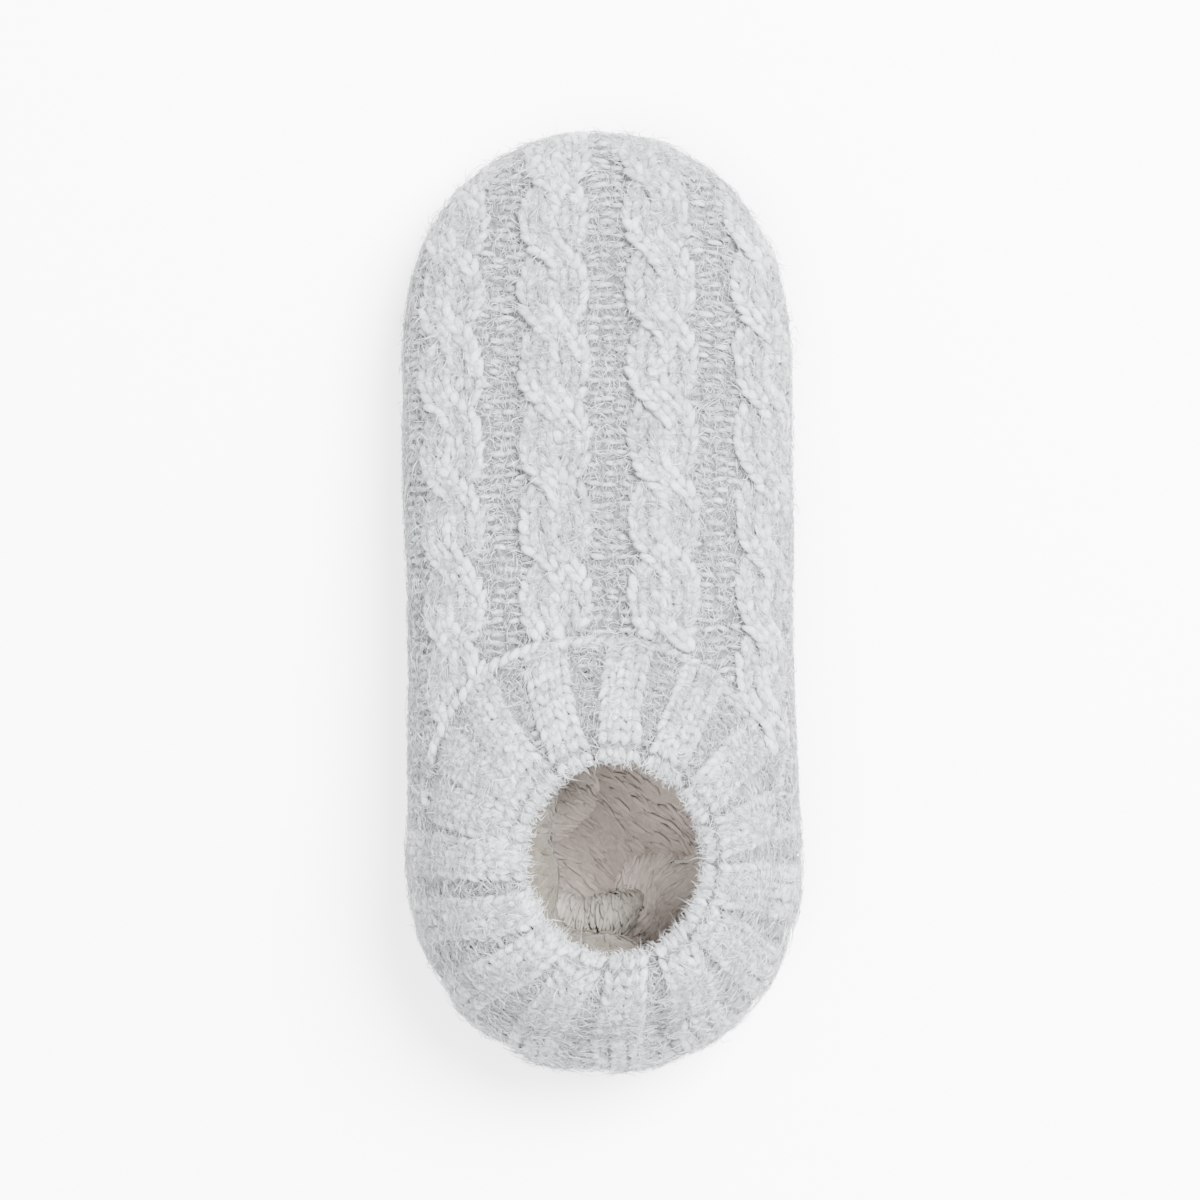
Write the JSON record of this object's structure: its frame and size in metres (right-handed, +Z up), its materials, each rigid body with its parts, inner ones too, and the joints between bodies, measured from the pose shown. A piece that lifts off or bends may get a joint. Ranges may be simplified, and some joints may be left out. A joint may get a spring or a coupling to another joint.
{
  "type": "cable knit slipper",
  "caption": "Soft knitted house slipper with raised cables along the foot, a ribbed gathered cuff round a small opening, a plush lining and footbed, and a thin soft sole.",
  "frame": {"origin": "on the floor, below the middle of the slipper's bounding box", "axes": "+Y to the toe, +Z up, +X to the right as seen from above with the toe away from the viewer"},
  "size_m": [0.1036, 0.249, 0.0795],
  "materials": {
    "knit": "fuzzy pale grey knitting yarn, matt",
    "plush": "short cream plush pile",
    "sole_cloth": "grey felted sole cloth, matt"
  },
  "bodies": {
    "root": {"sole": "sole_cloth", "insole": "plush", "upper": "knit", "cuff": "knit", "lining": "plush"}
  },
  "joints": []
}
